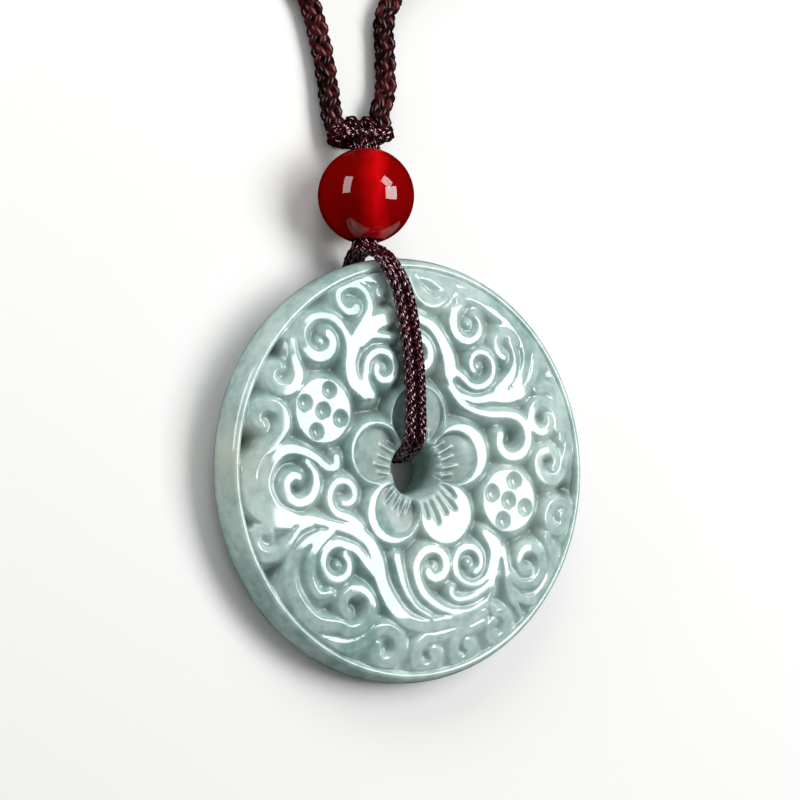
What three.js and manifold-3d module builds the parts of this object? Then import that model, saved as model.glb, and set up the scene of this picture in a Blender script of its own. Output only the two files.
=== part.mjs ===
// Carved jade disc on a thin looped cord, with a stone bead and a braided neck cord, lying face up.
// Millimetres, +Z up. The disc lies on its lower rim and on the cord that passes under its upper half.
import * as THREE from "three";
import { mergeVertices } from "three/addons/utils/BufferGeometryUtils.js";
import Module from "manifold-3d";

const wasm = await Module();
wasm.setup();

// Disc
const discRadius = 22.5;
const discBackRadius = 21.0;
const rimHeight = 4.4;
const crownHeight = 5.45;
const rimWidth = 0.6;
const rimTaper = 0.5;
const groundDepth = 1.6;
const crownSlopeWidth = 7.0;
const throatRadius = 2.5;
const mouthRadius = 3.1;
const mouthDepth = 0.75;
const throatDepth = 2.4;
const discSides = 54;
const holeSides = 24;

// Flower round the hole
const petalCount = 5;
const petalRadius = 3.25;
const petalDistance = 5.7;
const petalFirstAngle = 22;
const petalDish = 0.45;
const petalRim = 0.55;
const petalSides = 20;

// Seed pods
const podRadius = 3.4;
const pipRadius = 0.88;
const pipDepth = 0.6;
const pipDistance = 2.3;
const podSides = 24;
const pipSides = 10;
const pipsAround = 4;
const pipFirstAngle = 75;

// Cords and bead
const loopCordDiameter = 1.25;
const neckCordDiameter = 2.8;
const beadRadius = 5.1;
const knotWidth = 8.4;
const knotHeight = 3.6;
const knotLength = 2.4;
const clearance = 0.3;
const beadGap = 0.8;
const knotGap = 0.9;

// Coil of the neck cord
const coilRadius = 16.0;
const coilColumns = 3;
const coilLayers = 2;
const coilReach = 40;

// The carving was laid out by hand on a disc of this radius. Its lengths grow and shrink with the disc.
const layoutRadius = 22.5;
const layoutScale = discRadius / layoutRadius;
const layoutLowering = 0.4;

const materials = {
  jade: new THREE.MeshStandardMaterial({ color: 0xa9c8bb, roughness: 0.18, metalness: 0 }),
  agate: new THREE.MeshStandardMaterial({ color: 0x6e1512, roughness: 0.12, metalness: 0 }),
  loopCord: new THREE.MeshStandardMaterial({ color: 0x4a1a1e, roughness: 0.5, metalness: 0 }),
  neckCord: new THREE.MeshStandardMaterial({ color: 0x5a2522, roughness: 0.8, metalness: 0 }),
};

const degrees = (angle) => (angle * Math.PI) / 180;
const onCircle = (x, y, radius, angle) => [
  x + radius * Math.cos(degrees(angle)),
  y + radius * Math.sin(degrees(angle)),
];

// Solids for joining and cutting
function solidOf(geometry) {
  const bare = geometry.index ? geometry.toNonIndexed() : geometry.clone();
  for (const name of Object.keys(bare.attributes)) {
    if (name !== "position") bare.deleteAttribute(name);
  }
  const merged = mergeVertices(bare, 1e-5);
  return new wasm.Manifold(new wasm.Mesh({
    numProp: 3,
    vertProperties: Float32Array.from(merged.attributes.position.array),
    triVerts: Uint32Array.from(merged.index.array),
  }));
}

function geometryOf(solid) {
  const mesh = solid.getMesh();
  const geometry = new THREE.BufferGeometry();
  geometry.setAttribute("position", new THREE.BufferAttribute(Float32Array.from(mesh.vertProperties), 3));
  geometry.setIndex(new THREE.BufferAttribute(Uint32Array.from(mesh.triVerts), 1));
  geometry.computeVertexNormals();
  return geometry;
}

const joined = (solids) => solids.reduce((whole, solid) => whole.add(solid));

// A turned solid about the disc's axis. The profile is [radius, height] pairs, from the bottom up.
function turned(profile, sides) {
  const geometry = new THREE.LatheGeometry(profile.map(([r, z]) => new THREE.Vector2(r, z)), sides);
  return geometry.rotateX(Math.PI / 2);
}

// An upright prism over a closed outline of [x, y] pairs.
function prism(outline, bottom, top) {
  const shape = new THREE.Shape(outline.map(([x, y]) => new THREE.Vector2(x, y)));
  const geometry = new THREE.ExtrudeGeometry(shape, { depth: top - bottom, bevelEnabled: false });
  return geometry.translate(0, 0, bottom);
}

// A round cord or bundle along points, as a many-sided tube.
function cordTube(points, diameter, steps, sides = 8) {
  const section = new THREE.Shape();
  for (let i = 0; i < sides; i += 1) {
    const [x, y] = onCircle(0, 0, diameter / 2, (360 * (i + 0.5)) / sides);
    if (i === 0) section.moveTo(x, y);
    else section.lineTo(x, y);
  }
  const path = new THREE.CatmullRomCurve3(points.map((p) => new THREE.Vector3(...p)), false, "centripetal");
  return new THREE.ExtrudeGeometry(section, { steps, extrudePath: path, bevelEnabled: false });
}

// Layout of the scrolls. A stem is a few points along the vine. A curl winds about [x, y] from its first
// to its last radius, from an angle through a sweep in degrees, anticlockwise when the sweep is positive.
// Widths are half widths, evenly spread from the stem's foot to the curl's eye.
const scrolls = [
  // upper left
  { stem: [[-9.6, 11.4], [-9.9, 13.0]], curl: [-13.0, 12.7, 2.95, 1.1, 25, 380],
    widths: [0.4, 0.45, 0.4, 0.6, 0.5] },
  { stem: [[-8.9, 13.6], [-7.9, 15.2]], curl: [-9.5, 17.2, 2.3, 0.9, -20, 340],
    widths: [0.5, 0.4, 0.35, 0.45] },
  { stem: [[-7.3, 7.5], [-8.9, 8.9], [-9.4, 10.8], [-8.9, 12.9], [-7.6, 14.4], [-6.2, 15.4], [-4.5, 16.1]],
    widths: [0.5, 0.75, 0.7, 0.8, 0.85, 0.75, 0.6] },
  { stem: [[-8.2, 12.9], [-7.0, 13.8], [-5.5, 13.9], [-4.0, 13.9]], widths: [0.5, 0.4, 0.3, 0.25] },
  { stem: [[-6.6, 7.6], [-7.4, 9.0]], curl: [-5.3, 10.5, 2.2, 0.8, 195, -385], widths: [0.5, 0.4, 0.4, 0.4] },
  { stem: [[-16.3, 12.3], [-16.2, 10.8]], curl: [-17.3, 8.6, 1.9, 1.0, 40, -290],
    widths: [0.4, 0.6, 0.6, 0.4] },
  { stem: [[-19.9, 0.5], [-18.1, 1.2]], curl: [-18.8, 3.7, 2.2, 0.8, -40, 270],
    widths: [0.3, 0.6, 0.6, 0.4] },
  { stem: [[-10.4, 19.0], [-7.4, 20.0], [-5.6, 19.5], [-6.1, 18.5]], widths: [0.3, 0.4, 0.45, 0.5] },
  // lower left
  { stem: [], curl: [-14.9, -2.5, 2.7, 0.9, 115, -390], widths: [0.4, 0.5, 0.5, 0.55, 0.45] },
  { stem: [[-14.6, -6.0], [-17.2, -5.2], [-18.6, -3.1], [-18.3, -0.9], [-16.9, 0.8], [-14.9, 1.1],
    [-13.0, 0.5], [-11.5, -0.4], [-10.4, -0.2], [-10.4, 0.7]], widths: [0.5, 0.7, 0.6, 0.55, 0.45, 0.45] },
  { stem: [[-19.3, 0.2], [-20.3, -1.6], [-20.2, -3.8], [-19.0, -5.8], [-17.2, -6.7], [-15.2, -6.9]],
    widths: [0.3, 0.5, 0.6, 0.7, 0.6, 0.3] },
  { stem: [[-6.9, -6.3], [-7.9, -5.6]], curl: [-9.1, -3.1, 2.2, 0.8, -85, -370],
    widths: [0.5, 0.4, 0.4, 0.35] },
  { stem: [[-15.4, -6.2], [-12.8, -5.9], [-10.3, -6.3], [-7.8, -6.7], [-5.8, -7.7], [-4.6, -9.5], [-3.9,
    -11.7],
    [-2.5, -13.8], [-0.6, -15.4], [2.0, -15.9], [4.8, -15.3], [7.4, -14.9], [9.4, -14.0]],
    widths: [0.55, 0.4, 0.65, 0.75, 0.8, 0.65, 0.6, 0.4] },
  { stem: [[-4.6, -11.0], [-5.8, -9.9], [-7.2, -8.6]], curl: [-9.4, -10.2, 2.2, 1.25, 60, 350],
    widths: [0.5, 0.4] },
  { stem: [[-10.4, -6.9], [-11.9, -8.2], [-12.7, -10.1], [-12.4, -12.1], [-11.3, -13.5], [-10.0, -13.3]],
    widths: [0.4, 0.6, 0.5, 0.4, 0.4, 0.3] },
  { stem: [[-11.6, -7.2], [-13.9, -8.7], [-14.9, -10.9], [-14.4, -13.3], [-12.8, -15.3], [-10.9, -16.5]],
    curl: [-7.0, -14.4, 2.7, 1.2, 235, 345], widths: [0.4, 0.65, 0.65, 0.5, 0.5] },
  { stem: [[-13.4, -16.2], [-10.4, -18.1], [-7.6, -18.7], [-5.2, -17.8]],
    curl: [-2.7, -18.6, 2.2, 1.1, 125, -320],
    widths: [0.3, 0.6, 0.6, 0.5] },
  { stem: [[-12.2, -6.5], [-14.3, -7.4], [-15.4, -8.7]], curl: [-17.5, -8.9, 2.0, 1.0, -20, -215],
    widths: [0.3, 0.45, 0.65, 0.7, 0.5] },
  { stem: [[-2.2, -9.0], [-1.7, -10.5], [-0.9, -12.3], [0.6, -14.0], [2.6, -15.0]],
    widths: [0.5, 0.4, 0.25, 0.25] },
  // lower right
  { stem: [[9.6, -12.9], [7.6, -14.0], [5.2, -14.2], [2.8, -13.5], [1.1, -12.1]],
    curl: [2.6, -9.7, 2.3, 0.9, 190, -330],
    widths: [0.3, 0.45, 0.5, 0.5] },
  { stem: [[8.8, -5.6], [9.9, -7.2]], curl: [7.2, -8.9, 2.7, 1.15, 5, -420], widths: [0.4, 0.35, 0.4, 0.35] },
  { stem: [[10.5, -9.8], [9.6, -11.3], [7.8, -12.5], [6.0, -12.9], [5.0, -12.4], [5.0, -11.8]],
    widths: [0.4, 0.35, 0.35] },
  { stem: [[9.0, -5.7], [10.4, -6.8], [10.8, -8.4], [10.4, -10.2], [10.3, -11.8], [9.6, -13.2]],
    widths: [0.5, 0.8, 0.55, 0.45, 0.4, 0.3] },
  { stem: [[11.2, -7.4], [11.6, -9.0], [12.1, -10.8], [13.0, -12.2], [14.6, -13.8]],
    widths: [0.4, 0.35, 0.4, 0.45, 0.3] },
  { stem: [[7.4, -15.7], [4.9, -16.6]], curl: [2.9, -19.1, 2.1, 0.8, 75, 330],
    widths: [0.3, 0.5, 0.55, 0.6] },
  { stem: [[9.6, -15.0], [7.9, -15.9]], curl: [7.5, -18.1, 1.9, 0.7, 110, 320],
    widths: [0.3, 0.5, 0.55, 0.6] },
  { stem: [[10.3, -13.2]], curl: [11.5, -15.6, 1.8, 0.9, 110, -330], widths: [0.3, 0.5, 0.55, 0.5] },
  { stem: [[12.3, -9.6]], curl: [14.9, -8.4, 2.6, 0.9, 215, 425], widths: [0.3, 0.5, 0.5, 0.45, 0.35] },
  { stem: [[17.2, -5.4], [18.4, -7.4], [18.5, -9.7], [17.0, -11.9], [14.9, -12.4], [13.3, -11.6]],
    widths: [0.4, 0.6, 0.6, 0.6, 0.5, 0.3] },
  { stem: [], curl: [18.7, -3.3, 2.1, 0.9, 20, 360], widths: [0.4, 0.5, 0.5, 0.6] },
  // upper right
  { stem: [[19.6, 7.0], [19.6, 4.6]], curl: [16.9, 2.6, 2.2, 0.9, 5, -400], widths: [0.4, 0.5, 0.5, 0.4] },
  { stem: [], curl: [15.7, 7.2, 2.3, 1.0, -20, 390], widths: [0.4, 0.5, 0.5, 0.4] },
  { stem: [[14.6, 10.4], [16.6, 10.7], [18.2, 9.4], [18.8, 7.2], [18.6, 5.4]],
    widths: [0.4, 0.6, 0.6, 0.5, 0.4] },
  { stem: [[-2.0, 20.6], [-1.0, 18.9], [0.5, 18.2], [2.0, 18.9], [3.2, 20.4]],
    widths: [0.4, 0.6, 0.6, 0.5, 0.3] },
  { stem: [[-1.2, 21.0], [0.4, 20.9], [1.6, 20.3]], widths: [0.3, 0.35, 0.35] },
  { stem: [], curl: [5.3, 16.2, 2.3, 1.4, 120, 290], widths: [0.4, 0.55, 0.55, 0.4] },
  { stem: [[3.4, 12.0]], curl: [6.6, 12.1, 2.7, 1.0, 205, 370], widths: [0.4, 0.35] },
  { stem: [[-1.2, 16.3], [0.6, 15.6], [2.0, 14.1], [2.9, 12.4], [3.2, 11.0]],
    widths: [0.5, 0.55, 0.6, 0.75, 0.8] },
  { stem: [[2.9, 10.6], [4.0, 9.1], [6.4, 8.4], [8.8, 8.9], [11.2, 9.3], [12.8, 9.9]],
    widths: [0.35, 0.35, 0.4, 0.5, 0.75, 0.6] },
  { stem: [[9.4, 9.6], [11.1, 11.4], [11.7, 13.4], [11.0, 15.2]], widths: [0.5, 0.6, 0.35, 0.3] },
  { stem: [[11.6, 9.8], [12.6, 11.6], [13.2, 13.6], [12.8, 15.8], [11.3, 17.4], [9.6, 18.4], [8.8, 18.9]],
    widths: [0.5, 0.45, 0.4, 0.35] },
  { stem: [[12.4, 9.6], [13.9, 11.2], [14.6, 13.2], [14.6, 15.2], [14.0, 16.6]],
    widths: [0.6, 0.55, 0.45, 0.4, 0.3] },
  { stem: [], curl: [10.3, 14.5, 1.6, 1.1, 20, 240], widths: [0.35, 0.35, 0.45, 0.4] },
  { stem: [[3.8, 20.9], [6.4, 20.7], [8.4, 20.1], [8.9, 19.3]], widths: [0.3, 0.45, 0.45, 0.35] },
  { stem: [[4.0, 18.7], [4.7, 19.4], [6.4, 19.6], [7.8, 19.4]], widths: [0.4, 0.35, 0.3, 0.25] },
  { stem: [[3.2, 9.4], [5.0, 7.8], [7.8, 7.1]], curl: [11.6, 4.7, 2.6, 1.5, 100, -290],
    widths: [0.3, 0.4, 0.5, 0.5] },
  { stem: [], curl: [-1.0, 12.4, 2.1, 0.9, 150, -330], widths: [0.4, 0.45, 0.5, 0.4] },
];
const pods = [[-12.4, 5.4], [11.7, -1.9]];
const curlStep = 42;
const prismSteps = 5;
const onLayout = ([x, y]) => [x * layoutScale, (y - layoutLowering) * layoutScale];

function centreLine({ stem, curl }) {
  const line = stem.map((point) => [...point]);
  if (curl) {
    const [x, y, first, last, from, sweep] = curl;
    const turns = Math.ceil(Math.abs(sweep) / curlStep);
    for (let i = 0; i <= turns; i += 1) {
      const share = i / turns;
      line.push(onCircle(x, y, first + (last - first) * share, from + sweep * share));
    }
  }
  return line.map(onLayout);
}

function widthAt(widths, share) {
  const place = share * (widths.length - 1);
  const index = Math.min(Math.floor(place), widths.length - 2);
  return widths[index] + (widths[index + 1] - widths[index]) * (place - index);
}

// What stands up from the ground starts a little below it and is dressed down to the crown later.
const ground = crownHeight - groundDepth;
const rawTop = crownHeight + clearance;
function raisedPrism(geometry) {
  const foot = ground - clearance;
  return solidOf(geometry.scale(1, 1, rawTop - foot).translate(0, 0, foot));
}
function raisedRound([x, y], radius, sides) {
  return raisedPrism(turned([[0, 0], [radius, 0], [radius, 1], [0, 1]], sides).translate(x, y, 0));
}

// One scroll as short overlapping prisms with pointed ends, so that a tight curl never cuts itself.
function scrollSolid(scroll) {
  const line = centreLine(scroll);
  const count = line.length;
  const sides = line.map(([x, y], i) => {
    const [x0, y0] = line[Math.max(i - 1, 0)];
    const [x1, y1] = line[Math.min(i + 1, count - 1)];
    const length = Math.hypot(x1 - x0, y1 - y0);
    const half = widthAt(scroll.widths, i / (count - 1)) * layoutScale;
    const ahead = [((x1 - x0) / length) * half, ((y1 - y0) / length) * half];
    return {
      left: [x - ahead[1], y + ahead[0]],
      right: [x + ahead[1], y - ahead[0]],
      tip: [x + ahead[0], y + ahead[1]],
      tail: [x - ahead[0], y - ahead[1]],
    };
  });
  const solids = [];
  for (let start = 0, end = 0; end < count - 1; start += prismSteps) {
    end = Math.min(start + prismSteps + 1, count - 1);
    const part = sides.slice(start, end + 1);
    const outline = part.map((side) => side.right);
    if (end === count - 1) outline.push(sides[end].tip);
    outline.push(...part.map((side) => side.left).reverse());
    if (start === 0) outline.push(sides[0].tail);
    solids.push(raisedPrism(prism(outline, 0, 1)));
  }
  return joined(solids);
}

// A shallow dish or dimple sunk into the crown.
function sunkRound([x, y], radius, depth, flatShare, sides) {
  const hollow = turned([[0, crownHeight - depth], [radius * flatShare, crownHeight - depth * 0.8],
    [radius, crownHeight], [radius, rawTop], [0, rawTop]], sides);
  return solidOf(hollow.translate(x, y, 0));
}

// The disc with its carving, its back on the plane z = 0 and its axis along z.
function carvedDisc() {
  const lipRadius = discRadius - rimTaper;
  const lipInner = lipRadius - rimWidth;
  const edge = discRadius - discBackRadius;
  const body = solidOf(turned([
    [0, 0], [discBackRadius, 0], [discBackRadius + edge * 0.7, rimHeight * 0.1],
    [discRadius, rimHeight * 0.3], [discRadius, rimHeight * 0.55], [lipRadius + rimTaper * 0.5,
      rimHeight * 0.85],
    [lipRadius, rimHeight], [lipInner, rimHeight], [lipInner - rimWidth * 0.6, ground], [0, ground],
  ], discSides));

  const petals = [];
  for (let i = 0; i < petalCount; i += 1) {
    petals.push(onCircle(0, 0, petalDistance, petalFirstAngle + (360 * i) / petalCount));
  }
  const podCentres = pods.map(onLayout);
  const raised = joined([
    ...scrolls.map(scrollSolid),
    ...podCentres.map((centre) => raisedRound(centre, podRadius, podSides)),
    ...petals.map((centre) => raisedRound(centre, petalRadius, petalSides)),
  ]);

  // Everything raised is dressed down to one smooth crown that falls to the rim.
  const rise = crownHeight - rimHeight;
  const slopeStart = lipRadius - crownSlopeWidth;
  const crown = solidOf(turned([
    [0, 0], [discRadius, 0], [discRadius, rimHeight], [lipInner, rimHeight + rise * 0.1],
    [slopeStart + crownSlopeWidth / 2, rimHeight + rise * 0.72], [slopeStart, crownHeight], [0, crownHeight],
  ], discSides));

  const hole = solidOf(turned([
    [0, -clearance], [throatRadius, -clearance], [throatRadius, crownHeight - throatDepth],
    [mouthRadius, crownHeight - mouthDepth], [mouthRadius + mouthDepth, rawTop], [0, rawTop],
  ], holeSides));
  const cuts = [hole, ...petals.map((centre) => sunkRound(centre, petalRadius - petalRim, petalDish, 0.75,
    petalSides))];
  for (const centre of podCentres) {
    cuts.push(sunkRound(centre, pipRadius, pipDepth, 0.8, pipSides));
    for (let i = 0; i < pipsAround; i += 1) {
      const pip = onCircle(...centre, pipDistance, pipFirstAngle + (360 * i) / pipsAround);
      cuts.push(sunkRound(pip, pipRadius, pipDepth, 0.8, pipSides));
    }
  }
  return geometryOf(body.add(raised.intersect(crown)).subtract(joined(cuts)));
}

// Lying pose: the lower edge of the back is on the table, and the cord under the hole's upper edge lifts
// the rest. Heights on the tilted disc come from these two.
const tilt = Math.asin((loopCordDiameter + clearance) / (discBackRadius + throatRadius));
const discLift = discBackRadius * Math.sin(tilt);
const onDisc = (x, y, z) => [
  x,
  y * Math.cos(tilt) - z * Math.sin(tilt),
  y * Math.sin(tilt) + z * Math.cos(tilt) + discLift,
];

const disc = new THREE.Mesh(carvedDisc(), materials.jade);
disc.name = "jade_disc";
disc.rotation.x = tilt;
disc.position.z = discLift;

// The bead lies on the table just above the disc's rim, its bore along the cord.
const beadX = -6.5;
const beadY = discRadius + beadGap + beadRadius;
const beadLean = 2;
const beadRows = 9;
const beadSides = 22;
const strandSpread = loopCordDiameter * 0.45;
const boreRadius = strandSpread * Math.SQRT2 + loopCordDiameter / 2 + clearance;
const boreHalf = Math.sqrt(beadRadius ** 2 - boreRadius ** 2);
const boreAngle = Math.acos(boreHalf / beadRadius);
const beadProfile = [];
for (let i = 0; i <= beadRows; i += 1) {
  const angle = boreAngle + ((Math.PI - 2 * boreAngle) * i) / beadRows;
  beadProfile.push(new THREE.Vector2(beadRadius * Math.sin(angle), -beadRadius * Math.cos(angle)));
}
beadProfile.push(beadProfile[0].clone());
const bead = new THREE.Mesh(new THREE.LatheGeometry(beadProfile, beadSides), materials.agate);
bead.name = "agate_bead";
bead.rotation.z = degrees(beadLean);
bead.position.set(beadX, beadY, beadRadius);

// Thin cord. Each of its two strands runs from the knot through the bead, over the disc, down through the
// hole, back under the disc and up through the bead again.
const halfCord = loopCordDiameter / 2;
const overFace = crownHeight + clearance + halfCord;
const onTable = halfCord + 0.1;
const knotY = beadY + beadRadius + knotGap + knotLength / 2;
const knotX = beadX + 1.0;
const knotZ = knotHeight / 2 + 0.4;
const boreEnd = boreHalf + 0.4;

function strandPoints(side) {
  const shift = side * strandSpread;
  const hole = -0.55;
  return [
    [knotX + shift, knotY, knotZ + strandSpread],
    [beadX + shift, beadY + boreEnd, beadRadius + strandSpread],
    [beadX + shift, beadY, beadRadius + strandSpread],
    [beadX + shift, beadY - boreEnd, beadRadius + strandSpread],
    [beadX + shift + 0.2, discRadius + beadGap - 0.95, beadRadius + strandSpread + 1.1],
    onDisc(beadX + shift + 0.7, discRadius - 1.15, rimHeight + clearance + halfCord + 0.05),
    onDisc(-4.5 + shift, 18.2, overFace - 0.1),
    onDisc(-2.6 + shift, 11.5, overFace),
    onDisc(-1.5 + shift, 5.0, overFace),
    onDisc(hole - 0.3 + shift, 2.4, overFace - 0.28),
    onDisc(hole + shift, 1.0, crownHeight - throatDepth),
    [hole + shift, 0.6, onTable + loopCordDiameter * 0.8],
    [hole - 0.2 + shift, 1.4, onTable + halfCord * 0.18],
    [hole - 0.9 + shift, 3.6, onTable],
    [-3.4 + shift, 11.5, onTable],
    [-5.3 + shift, 18.2, onTable + 0.2],
    [beadX + shift + 0.6, discRadius - 1.3, onTable + 1.1],
    [beadX + shift + 0.2, discRadius + beadGap - 0.95, beadRadius - strandSpread - 1.3],
    [beadX + shift, beadY - boreEnd, beadRadius - strandSpread],
    [beadX + shift, beadY, beadRadius - strandSpread],
    [beadX + shift, beadY + boreEnd, beadRadius - strandSpread],
    [knotX + shift, knotY, knotZ - strandSpread],
  ];
}

// The knot: the thin cord wound round the two ends of the neck cord, with two small loops above it.
const knotTurn = degrees(8);
function knotSolid() {
  const w = knotWidth / 2;
  const h = knotHeight / 2;
  const cut = h * 0.5;
  const outline = [[-w + cut, -h], [w - cut, -h], [w, -h + cut], [w, h - cut], [w - cut, h], [-w + cut, h],
    [-w, h - cut], [-w, -h + cut]];
  const block = prism(outline, -knotLength / 2, knotLength / 2);
  return block.rotateX(Math.PI / 2).rotateZ(knotTurn).translate(knotX, knotY, knotZ);
}
function knotLoop(x) {
  return cordTube([[x, knotY, knotZ], [x, knotY + knotLength / 2 + 1.4, knotZ]], loopCordDiameter, 1);
}

const loopCord = new THREE.Mesh(geometryOf(joined([
  solidOf(cordTube(strandPoints(-1), loopCordDiameter, 30)),
  solidOf(cordTube(strandPoints(1), loopCordDiameter, 30)),
  solidOf(knotSolid()),
  solidOf(knotLoop(knotX - 0.72)),
  solidOf(knotLoop(knotX + 0.72)),
])), materials.loopCord);
loopCord.name = "loop_cord";

// Neck cord: two legs from the knot to a round coil on the table.
const neckHalf = neckCordDiameter / 2;
const coilX = knotX + 0.7;
const coilY = knotY + coilReach;
const coilInner = coilRadius - (coilColumns * neckCordDiameter) / 2;
const coilOuter = coilRadius + (coilColumns * neckCordDiameter) / 2;
const coilHeight = coilLayers * neckCordDiameter;
const besideCoil = coilOuter + neckHalf + clearance;
const legLift = neckHalf + 0.3;
const fromKnot = (x, y, z) => [
  knotX + x * Math.cos(knotTurn) - y * Math.sin(knotTurn),
  knotY + x * Math.sin(knotTurn) + y * Math.cos(knotTurn),
  z,
];
const legStart = knotLength / 2 + clearance;

const leftLeg = [
  fromKnot(-3.0, legStart, legLift),
  fromKnot(-3.1, legStart + 1.4, legLift - 0.05),
  [knotX - 3.9, knotY + 5.2, neckHalf + 0.1],
  [knotX - 5.1, knotY + 9.6, neckHalf],
  [knotX - 7.2, knotY + 14.4, neckHalf],
  [knotX - 11.0, knotY + 19.4, neckHalf],
  [...onCircle(coilX, coilY, besideCoil + 1.2, 222), neckHalf],
  [...onCircle(coilX, coilY, besideCoil + 0.1, 205), neckHalf],
  [...onCircle(coilX, coilY, besideCoil + 0.1, 190), neckHalf],
];
const rightLeg = [
  fromKnot(3.0, legStart, legLift),
  fromKnot(3.1, legStart + 1.4, legLift - 0.05),
  [knotX + 3.3, knotY + 5.2, neckHalf + 0.1],
  [knotX + 3.6, knotY + 9.6, neckHalf],
  [knotX + 4.7, knotY + 14.6, neckHalf],
  [knotX + 9.4, knotY + 20.2, neckHalf],
  [...onCircle(coilX, coilY, besideCoil + 1.2, -42), neckHalf],
  [...onCircle(coilX, coilY, besideCoil + 0.1, -25), neckHalf],
  [...onCircle(coilX, coilY, besideCoil + 0.1, -10), neckHalf],
];

function leg(name, points) {
  const mesh = new THREE.Mesh(cordTube(points, neckCordDiameter, 10), materials.neckCord);
  mesh.name = name;
  return mesh;
}

const coilProfile = [[coilInner, 0], [coilOuter, 0], [coilOuter, coilHeight], [coilInner, coilHeight],
  [coilInner, 0]];
const coil = new THREE.Mesh(turned(coilProfile, 32), materials.neckCord);
coil.name = "neck_cord_coil";
coil.position.set(coilX, coilY, 0);

// The origin is on the table, under the middle of the disc, bead and thin cord together.
const pendant = new THREE.Group();
pendant.add(disc, bead, loopCord);
pendant.updateMatrixWorld(true);
const box = new THREE.Box3().setFromObject(pendant, true);
const middle = box.getCenter(new THREE.Vector3());

const group = new THREE.Group();
group.add(pendant, leg("neck_cord_left", leftLeg), leg("neck_cord_right", rightLeg), coil);
group.position.set(-middle.x, -middle.y, -box.min.z);

export default group;
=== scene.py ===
from functools import partial
import math

import bpy
import numpy as np
from mathutils import Matrix, Vector


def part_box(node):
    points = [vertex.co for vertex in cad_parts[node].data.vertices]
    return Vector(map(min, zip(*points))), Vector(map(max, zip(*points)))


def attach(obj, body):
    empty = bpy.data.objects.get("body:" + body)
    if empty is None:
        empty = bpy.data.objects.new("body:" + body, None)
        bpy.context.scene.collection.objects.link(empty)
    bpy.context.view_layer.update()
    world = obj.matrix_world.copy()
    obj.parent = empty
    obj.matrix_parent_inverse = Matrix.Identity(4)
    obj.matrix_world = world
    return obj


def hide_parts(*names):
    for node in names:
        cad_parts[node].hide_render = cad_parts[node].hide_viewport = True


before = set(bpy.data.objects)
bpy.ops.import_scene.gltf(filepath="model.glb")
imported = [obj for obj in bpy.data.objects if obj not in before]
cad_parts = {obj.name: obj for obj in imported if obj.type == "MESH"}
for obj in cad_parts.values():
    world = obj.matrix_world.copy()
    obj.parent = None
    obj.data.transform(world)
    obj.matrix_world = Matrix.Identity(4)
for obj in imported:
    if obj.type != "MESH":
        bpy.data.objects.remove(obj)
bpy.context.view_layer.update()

# How the pendant lies. The disc rests on the lower edge of its back and on the doubled thin cord behind
# its upper half, so it leans a few degrees. Lengths are millimetres from the point under the disc's
# middle, and become metres in the row frame when a mesh or a curve is made.
MM = 0.001
DISC_RADIUS = 22.5
BACK_RADIUS = 21.0
THROAT_RADIUS = 2.5
LIP_HEIGHT = 4.4
WALL_FOOT = 0.3
THIN_CORD = 1.25
CLEARANCE = 0.3
TILT = math.asin((THIN_CORD + CLEARANCE) / (BACK_RADIUS + THROAT_RADIUS))
LIFT = BACK_RADIUS * math.sin(TILT)
disc_reach = DISC_RADIUS * math.cos(TILT) - WALL_FOOT * LIP_HEIGHT * math.sin(TILT)
DISC_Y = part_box("jade_disc")[1].y / MM - disc_reach
LEAN = Matrix.Rotation(TILT, 3, "X")


def on_disc(x, y, z):
    """A point of the leaning disc, whose back is z = 0, in table millimetres."""
    return LEAN @ Vector((x, y, z)) + Vector((0, 0, LIFT))


def in_metres(points):
    """Table millimetres as metres in the row frame."""
    return (np.array([tuple(p) for p in points], float) + (0, DISC_Y, 0)) * MM


# The view. The photograph looks at the carving from its left and a little from below, through a long
# lens. The same view of the lying pendant looks down on it.
PHOTO_SIZE = 800
FOCAL_PIXELS = 3000
SENSOR_WIDTH = 36.0
VIEW_DISTANCE = 316
VIEW_FROM_LEFT = math.radians(33.75)
VIEW_FROM_BELOW = math.radians(3.89)
VIEW_ROLL = math.radians(3.36)
DISC_PIXEL = (414.4, 473.7)
LAYOUT_LOWERING = 0.4
CARVING_MIDDLE = on_disc(0, -LAYOUT_LOWERING, LIP_HEIGHT)

backward = Vector((-math.sin(VIEW_FROM_LEFT) * math.cos(VIEW_FROM_BELOW), -math.sin(VIEW_FROM_BELOW),
                   math.cos(VIEW_FROM_LEFT) * math.cos(VIEW_FROM_BELOW)))
level = Vector((math.cos(VIEW_FROM_LEFT), 0, math.sin(VIEW_FROM_LEFT)))
rightward = math.cos(VIEW_ROLL) * level + math.sin(VIEW_ROLL) * backward.cross(level)
upward = backward.cross(rightward)
aside = (PHOTO_SIZE / 2 - DISC_PIXEL[0]) / FOCAL_PIXELS
above = (DISC_PIXEL[1] - PHOTO_SIZE / 2) / FOCAL_PIXELS
sight = LEAN @ (rightward * aside + upward * above - backward).normalized()
view_right = LEAN @ rightward
view_right = (view_right - view_right.dot(sight) * sight).normalized()
view_up = view_right.cross(sight)
view_back = LEAN @ backward

camera_data = bpy.data.cameras.new("camera")
camera_data.sensor_width = SENSOR_WIDTH
camera_data.lens = FOCAL_PIXELS / PHOTO_SIZE * SENSOR_WIDTH
camera_data.clip_start = 0.01
camera_data.clip_end = 10
camera = bpy.data.objects.new("camera", camera_data)
bpy.context.scene.collection.objects.link(camera)
turn = Matrix((view_right, view_up, -sight)).transposed()
stand = in_metres([CARVING_MIDDLE + view_back * VIEW_DISTANCE])[0]
camera.matrix_world = Matrix.Translation(Vector(stand)) @ turn.to_4x4()
bpy.context.scene.camera = camera

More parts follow.
